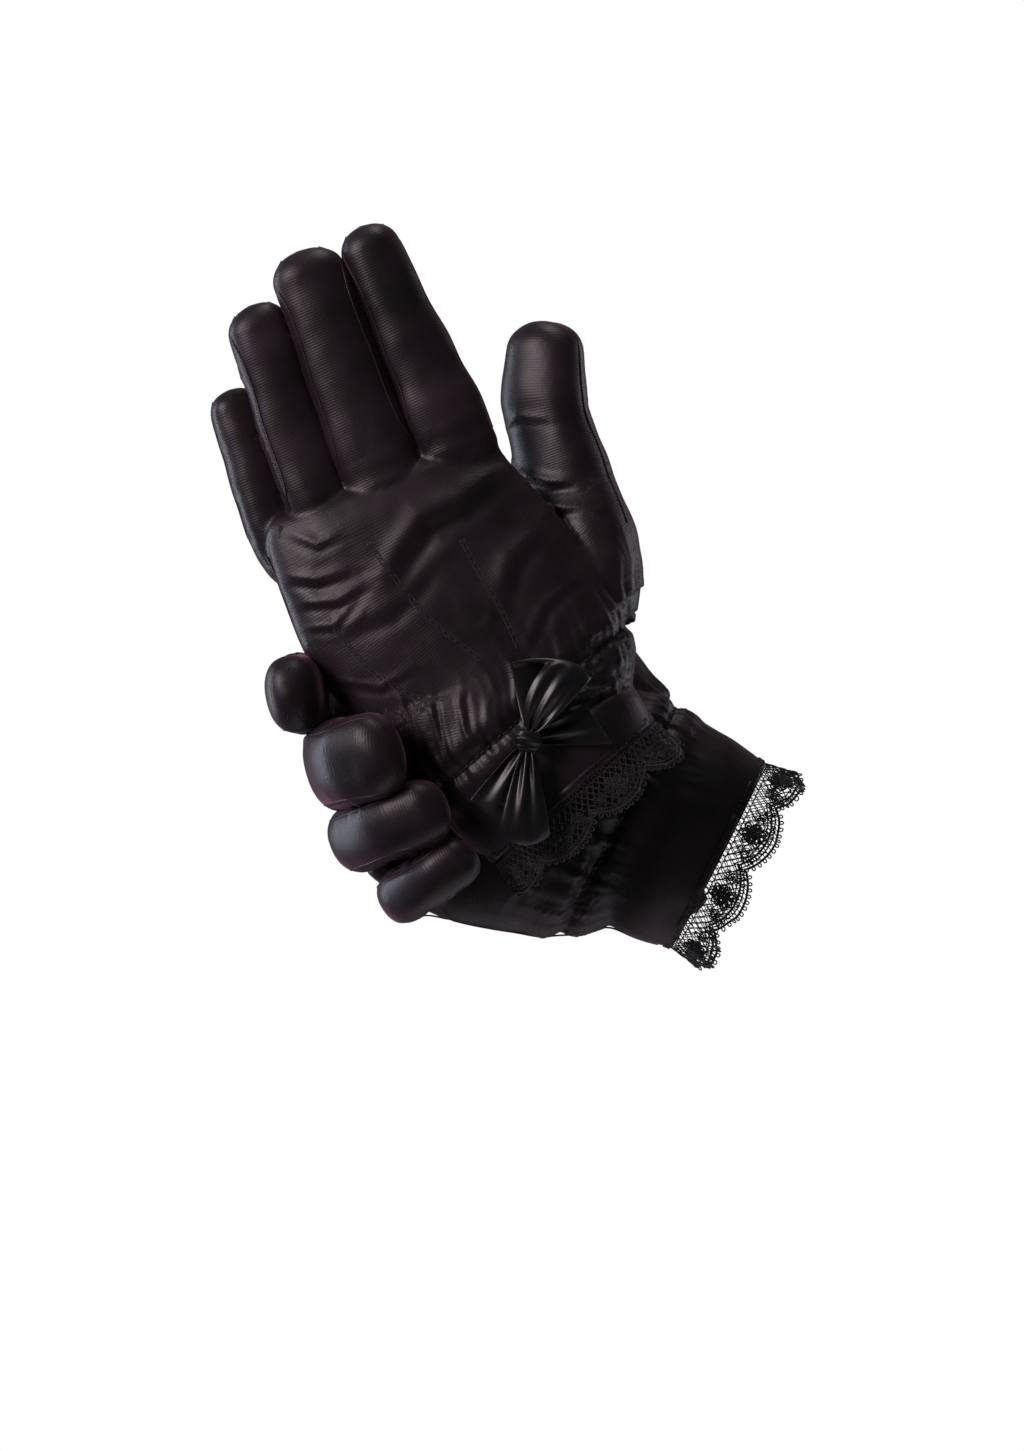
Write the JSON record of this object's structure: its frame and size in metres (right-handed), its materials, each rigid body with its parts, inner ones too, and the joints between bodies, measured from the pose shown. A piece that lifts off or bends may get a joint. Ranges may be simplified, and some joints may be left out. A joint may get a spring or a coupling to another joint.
{
  "type": "pair of short dress gloves",
  "caption": "Pair of short black satin dress gloves in a worn, hollow pose, with gathered wrists, bows and scalloped lace hems; every stall bends at its knuckles",
  "frame": {"origin": "centre of the left glove's wrist opening, in the plane of its hem", "axes": "+Z to the left glove's fingertips, +X to its thumb side, +Y out of its palm; its back faces -Y"},
  "size_m": [0.1418, 0.1113, 0.2607],
  "materials": {
    "satin": "black tricot satin with a soft warm sheen",
    "bow_satin": "smooth black satin ribbon",
    "lace": "black openwork lace with a picot edge",
    "thread": "black twisted sewing thread",
    "elastic": "black woven elastic"
  },
  "bodies": {
    "left_wrist": {"left_cuff": "satin", "left_hem_facing": "satin", "left_lace_trim": "lace", "left_bow_knot": "bow_satin", "left_bow_loop_upper": "bow_satin", "left_bow_loop_lower": "bow_satin", "left_bow_tail_outer": "bow_satin", "left_bow_tail_inner": "bow_satin"},
    "left_hand": {"left_back_panel": "satin", "left_palm_panel": "satin", "left_crotch_webs": "satin", "left_point_stitches": "thread", "left_thumb_gusset": "satin", "left_wrist_band": "satin", "left_wrist_elastic": "elastic"},
    "left_index_base": {"left_index_proximal": "satin"},
    "left_index_mid": {"left_index_middle": "satin"},
    "left_index_end": {"left_index_tip": "satin"},
    "left_middle_base": {"left_middle_proximal": "satin"},
    "left_middle_mid": {"left_middle_middle": "satin"},
    "left_middle_end": {"left_middle_tip": "satin"},
    "left_ring_base": {"left_ring_proximal": "satin"},
    "left_ring_mid": {"left_ring_middle": "satin"},
    "left_ring_end": {"left_ring_tip": "satin"},
    "left_little_base": {"left_little_proximal": "satin"},
    "left_little_mid": {"left_little_middle": "satin"},
    "left_little_end": {"left_little_tip": "satin"},
    "left_thumb_base": {"left_thumb_lower": "satin"},
    "left_thumb_end": {"left_thumb_tip": "satin"},
    "right_hand": {"right_back_panel": "satin", "right_palm_panel": "satin", "right_crotch_webs": "satin", "right_point_stitches": "thread", "right_thumb_gusset": "satin", "right_wrist_band": "satin", "right_wrist_elastic": "elastic"},
    "right_index_base": {"right_index_proximal": "satin"},
    "right_index_mid": {"right_index_middle": "satin"},
    "right_index_end": {"right_index_tip": "satin"},
    "right_middle_base": {"right_middle_proximal": "satin"},
    "right_middle_mid": {"right_middle_middle": "satin"},
    "right_middle_end": {"right_middle_tip": "satin"},
    "right_ring_base": {"right_ring_proximal": "satin"},
    "right_ring_mid": {"right_ring_middle": "satin"},
    "right_ring_end": {"right_ring_tip": "satin"},
    "right_little_base": {"right_little_proximal": "satin"},
    "right_little_mid": {"right_little_middle": "satin"},
    "right_little_end": {"right_little_tip": "satin"},
    "right_thumb_base": {"right_thumb_lower": "satin"},
    "right_thumb_end": {"right_thumb_tip": "satin"},
    "right_wrist": {"right_cuff": "satin", "right_hem_facing": "satin", "right_lace_trim": "lace", "right_bow_knot": "bow_satin", "right_bow_loop_upper": "bow_satin", "right_bow_loop_lower": "bow_satin", "right_bow_tail_outer": "bow_satin", "right_bow_tail_inner": "bow_satin"}
  },
  "joints": [
    {"name": "left_wrist_bend", "type": "hinge", "parent": "left_wrist", "child": "left_hand", "pos_m": [-0.0047, 0, 0.0194], "axis": [-0.972, 0, -0.2351], "range_deg": [-5, 10]},
    {"name": "left_index_base_bend", "type": "hinge", "parent": "left_hand", "child": "left_index_base", "pos_m": [0.01919, 0, 0.11899], "axis": [-0.9979, 0, 0.0645], "range_deg": [0, 62]},
    {"name": "left_index_middle_bend", "type": "hinge", "parent": "left_index_base", "child": "left_index_mid", "pos_m": [0.02048, 0, 0.13895], "axis": [-0.9979, 0, 0.0645], "range_deg": [0, 80]},
    {"name": "left_index_end_bend", "type": "hinge", "parent": "left_index_mid", "child": "left_index_end", "pos_m": [0.02196, 0, 0.1619], "axis": [-0.9979, 0, 0.0645], "range_deg": [0, 53.33]},
    {"name": "left_middle_base_bend", "type": "hinge", "parent": "left_hand", "child": "left_middle_base", "pos_m": [-0.00531, -0.0005, 0.11997], "axis": [-0.9952, 0, 0.0976], "range_deg": [0, 62]},
    {"name": "left_middle_middle_bend", "type": "hinge", "parent": "left_middle_base", "child": "left_middle_mid", "pos_m": [-0.00317, -0.0005, 0.14187], "axis": [-0.9952, 0, 0.0976], "range_deg": [0, 80]},
    {"name": "left_middle_end_bend", "type": "hinge", "parent": "left_middle_mid", "child": "left_middle_end", "pos_m": [-0.00083, -0.0005, 0.16575], "axis": [-0.9952, 0, 0.0976], "range_deg": [0, 53.33]},
    {"name": "left_ring_base_bend", "type": "hinge", "parent": "left_hand", "child": "left_ring_base", "pos_m": [-0.02641, 0.0015, 0.11898], "axis": [-0.9942, -0.0698, 0.0817], "range_deg": [0, 62]},
    {"name": "left_ring_middle_bend", "type": "hinge", "parent": "left_ring_base", "child": "left_ring_mid", "pos_m": [-0.02477, 0.0015, 0.13891], "axis": [-0.9942, -0.0698, 0.0817], "range_deg": [0, 80]},
    {"name": "left_ring_end_bend", "type": "hinge", "parent": "left_ring_mid", "child": "left_ring_end", "pos_m": [-0.02297, 0.0015, 0.16084], "axis": [-0.9942, -0.0698, 0.0817], "range_deg": [0, 53.33]},
    {"name": "left_little_base_bend", "type": "hinge", "parent": "left_hand", "child": "left_little_base", "pos_m": [-0.04345, 0.008, 0.11456], "axis": [-0.977, -0.1737, 0.1234], "range_deg": [0, 62]},
    {"name": "left_little_middle_bend", "type": "hinge", "parent": "left_little_base", "child": "left_little_mid", "pos_m": [-0.04157, 0.008, 0.12944], "axis": [-0.977, -0.1737, 0.1234], "range_deg": [0, 80]},
    {"name": "left_little_end_bend", "type": "hinge", "parent": "left_little_mid", "child": "left_little_end", "pos_m": [-0.03963, 0.008, 0.14482], "axis": [-0.977, -0.1737, 0.1234], "range_deg": [0, 53.33]},
    {"name": "left_thumb_base_bend", "type": "hinge", "parent": "left_hand", "child": "left_thumb_base", "pos_m": [0.0442, 0.015, 0.0868], "axis": [-0.8529, 0.5, 0.1504], "range_deg": [0, 30]},
    {"name": "left_thumb_end_bend", "type": "hinge", "parent": "left_thumb_base", "child": "left_thumb_end", "pos_m": [0.04828, 0.015, 0.10994], "axis": [-0.7574, 0.5, 0.4199], "range_deg": [0, 50]},
    {"name": "right_glove_take_off", "type": "slide", "parent": "left_hand", "child": "right_hand", "axis": [-1, 0, 0], "range_m": [0, 0.25]},
    {"name": "right_index_base_bend", "type": "hinge", "parent": "right_hand", "child": "right_index_base", "pos_m": [-0.0438, 0.04059, 0.06017], "axis": [0.342, 0, 0.9397], "range_deg": [-30, 0]},
    {"name": "right_index_middle_bend", "type": "hinge", "parent": "right_index_base", "child": "right_index_mid", "pos_m": [-0.05457, 0.02421, 0.06409], "axis": [0.342, 0, 0.9397], "range_deg": [-18, 0]},
    {"name": "right_index_end_bend", "type": "hinge", "parent": "right_index_mid", "child": "right_index_end", "pos_m": [-0.06089, 0.00221, 0.06639], "axis": [0.342, 0, 0.9397], "range_deg": [-12, 0]},
    {"name": "right_middle_base_bend", "type": "hinge", "parent": "right_hand", "child": "right_middle_base", "pos_m": [-0.05485, 0.02851, 0.03977], "axis": [0.225, 0, 0.9744], "range_deg": [-35, 0]},
    {"name": "right_middle_middle_bend", "type": "hinge", "parent": "right_middle_base", "child": "right_middle_mid", "pos_m": [-0.06218, 0.00784, 0.04147], "axis": [0.2249, 0, 0.9744], "range_deg": [-30, 0]},
    {"name": "right_middle_end_bend", "type": "hinge", "parent": "right_middle_mid", "child": "right_middle_end", "pos_m": [-0.05812, -0.0158, 0.04053], "axis": [0.225, 0, 0.9744], "range_deg": [-40, 0]},
    {"name": "right_ring_base_bend", "type": "hinge", "parent": "right_hand", "child": "right_ring_base", "pos_m": [-0.06191, 0.01932, 0.01784], "axis": [0.0872, 0, 0.9962], "range_deg": [-30, 0]},
    {"name": "right_ring_middle_bend", "type": "hinge", "parent": "right_ring_base", "child": "right_ring_mid", "pos_m": [-0.06707, 0, 0.01829], "axis": [0.0872, 0, 0.9962], "range_deg": [-50, 0]},
    {"name": "right_ring_end_bend", "type": "hinge", "parent": "right_ring_mid", "child": "right_ring_end", "pos_m": [-0.0545, -0.01802, 0.01719], "axis": [0.0871, 0, 0.9962], "range_deg": [-43, 0]},
    {"name": "right_little_base_bend", "type": "hinge", "parent": "right_hand", "child": "right_little_base", "pos_m": [-0.06177, 0.00907, -0.0041], "axis": [-0.0872, 0, 0.9962], "range_deg": [-30, 0]},
    {"name": "right_little_middle_bend", "type": "hinge", "parent": "right_little_base", "child": "right_little_mid", "pos_m": [-0.06177, -0.00594, -0.0041], "axis": [-0.0872, 0, 0.9962], "range_deg": [-45, 0]},
    {"name": "right_little_end_bend", "type": "hinge", "parent": "right_little_mid", "child": "right_little_end", "pos_m": [-0.05085, -0.0169, -0.00315], "axis": [-0.0872, 0, 0.9962], "range_deg": [-40, 0]},
    {"name": "right_thumb_base_bend", "type": "hinge", "parent": "right_hand", "child": "right_thumb_base", "pos_m": [0.013, 0.062, 0.055], "axis": [0.7006, 0.5, 0.509], "range_deg": [0, 30]},
    {"name": "right_thumb_end_bend", "type": "hinge", "parent": "right_thumb_base", "child": "right_thumb_end", "pos_m": [-0.00081, 0.062, 0.07401], "axis": [0.7647, 0.5, 0.4066], "range_deg": [0, 50]},
    {"name": "right_wrist_bend", "type": "hinge", "parent": "right_hand", "child": "right_wrist", "pos_m": [0.0166, 0.0475, -0.0195], "axis": [-0.8191, 0, -0.5736], "range_deg": [-5, 30]}
  ],
  "couplings": [
    {"joint": "left_index_end_bend", "follows": "left_index_middle_bend", "ratio": 0.66667},
    {"joint": "left_middle_end_bend", "follows": "left_middle_middle_bend", "ratio": 0.66667},
    {"joint": "left_ring_end_bend", "follows": "left_ring_middle_bend", "ratio": 0.66667},
    {"joint": "left_little_end_bend", "follows": "left_little_middle_bend", "ratio": 0.66667},
    {"joint": "right_index_end_bend", "follows": "right_index_middle_bend", "ratio": 0.66667},
    {"joint": "right_middle_end_bend", "follows": "right_middle_middle_bend", "ratio": 1.3333},
    {"joint": "right_ring_end_bend", "follows": "right_ring_middle_bend", "ratio": 0.86},
    {"joint": "right_little_end_bend", "follows": "right_little_middle_bend", "ratio": 0.88889}
  ]
}
